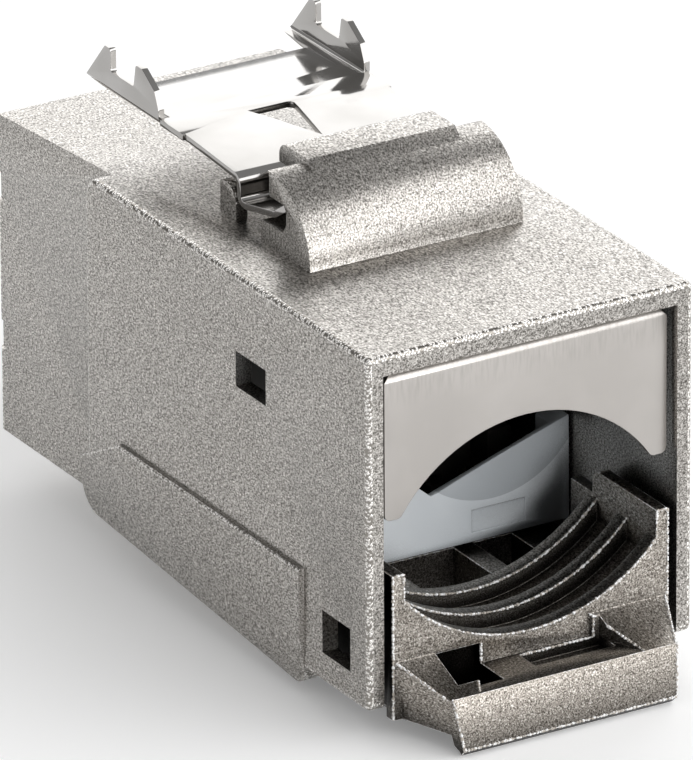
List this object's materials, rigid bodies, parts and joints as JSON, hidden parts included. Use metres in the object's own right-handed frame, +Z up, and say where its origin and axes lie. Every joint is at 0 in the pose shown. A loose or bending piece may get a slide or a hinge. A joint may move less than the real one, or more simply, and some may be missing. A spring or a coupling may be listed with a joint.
{
  "type": "keystone jack",
  "caption": "Shielded keystone jack: die-cast body with a modular plug socket at the front, a latch spring on top and a ribbed slide-in cable clamp at the rear.",
  "frame": {"origin": "on the plug's axis, in the plane of the mating face", "axes": "+Y from the mating face towards the cable, +Z up towards the latch spring, +X across"},
  "size_m": [0.0174, 0.0377, 0.023],
  "materials": {
    "die_casting": "satin nickel plate on a fine-grained die casting",
    "clamp_casting": "satin nickel plate, a little warmer and darker than the body",
    "spring_steel": "bright rolled spring steel",
    "sheet_steel": "tin-plated sheet, fine streaks",
    "white_plastic": "moulded, cool light grey",
    "insert_plastic": "moulded, black",
    "gold_plated": "gold plate",
    "blade_bronze": "tin-plated bronze",
    "board": "glass-fibre laminate"
  },
  "bodies": {
    "jack_body": {"housing": "die_casting", "socket_insert": "insert_plastic", "contact_1": "gold_plated", "contact_2": "gold_plated", "contact_3": "gold_plated", "contact_4": "gold_plated", "contact_5": "gold_plated", "contact_6": "gold_plated", "contact_7": "gold_plated", "contact_8": "gold_plated", "circuit_board": "board", "termination_block": "insert_plastic", "blade_1": "blade_bronze", "blade_2": "blade_bronze", "blade_3": "blade_bronze", "blade_4": "blade_bronze", "blade_5": "blade_bronze", "blade_6": "blade_bronze", "blade_7": "blade_bronze", "blade_8": "blade_bronze", "wire_manager": "white_plastic", "shield_plate": "sheet_steel", "ground_spring_left": "sheet_steel", "ground_spring_right": "sheet_steel"},
    "clamp": {"cable_clamp": "clamp_casting"},
    "latch": {"latch_spring": "spring_steel"}
  },
  "joints": [
    {"name": "clamp_slide", "type": "slide", "parent": "jack_body", "child": "clamp", "axis": [0, 1, 0], "range_m": [0, 0.012]},
    {"name": "latch_flex", "type": "hinge", "parent": "jack_body", "child": "latch", "pos_m": [0, 0.0217, 0.0099], "axis": [1, 0, 0], "range_deg": [0, 4.5], "stiffness_Nm_per_rad": 0.5}
  ]
}
